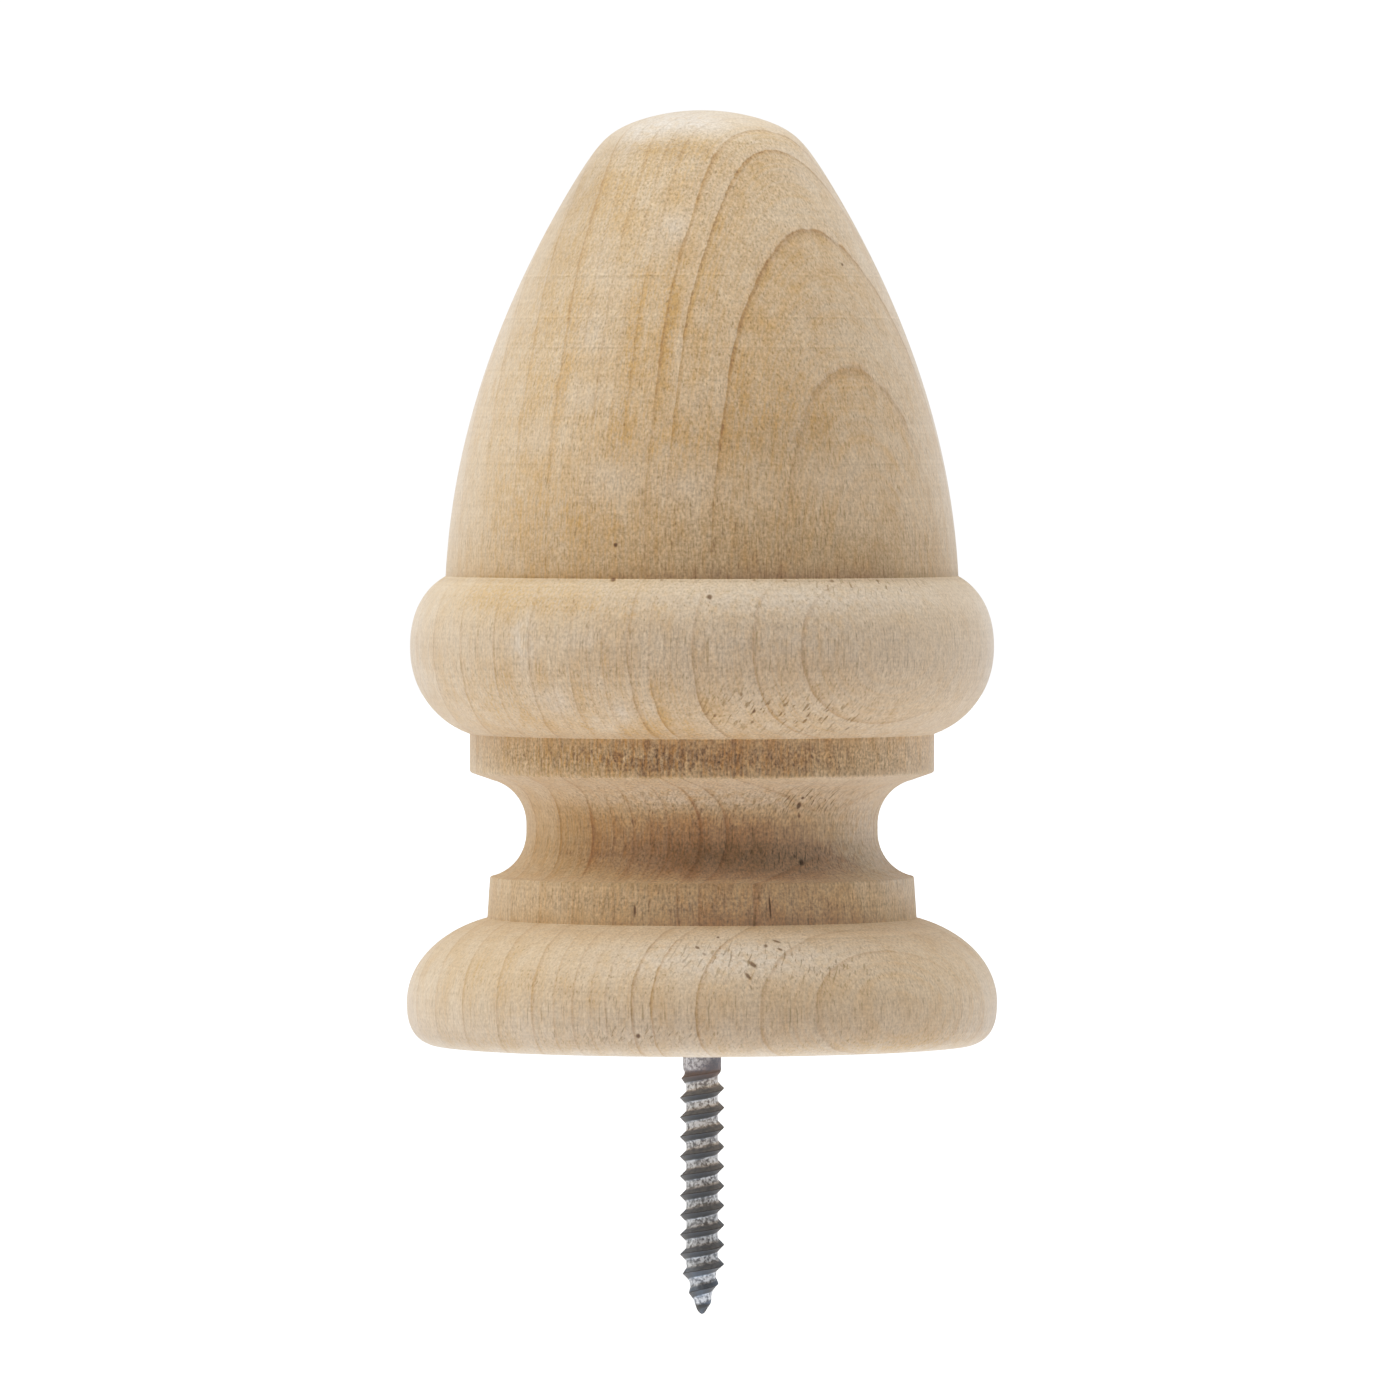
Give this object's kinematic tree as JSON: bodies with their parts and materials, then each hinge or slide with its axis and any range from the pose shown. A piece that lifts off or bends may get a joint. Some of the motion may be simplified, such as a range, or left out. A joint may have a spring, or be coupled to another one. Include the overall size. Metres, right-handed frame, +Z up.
{
  "type": "acorn finial",
  "caption": "Turned bare-wood acorn finial for the top of a square timber post, held by a dowel screw that stands out of its flat underside.",
  "frame": {"origin": "centre of the flat underside, on the screw's axis, where the finial seats on top of the post", "axes": "+Z up along the turning's axis to the acorn's tip; the screw points down, along -Z; -Y is the side that the picture shows"},
  "size_m": [0.088, 0.088, 0.1794],
  "materials": {
    "bare_wood": "bare pale softwood, turned and lightly sanded, with wide growth rings and a little torn grain",
    "zinc_steel": "dull galvanised steel with mottled zinc"
  },
  "bodies": {
    "root": {"wood_finial": "bare_wood", "dowel_screw": "zinc_steel"}
  },
  "joints": []
}
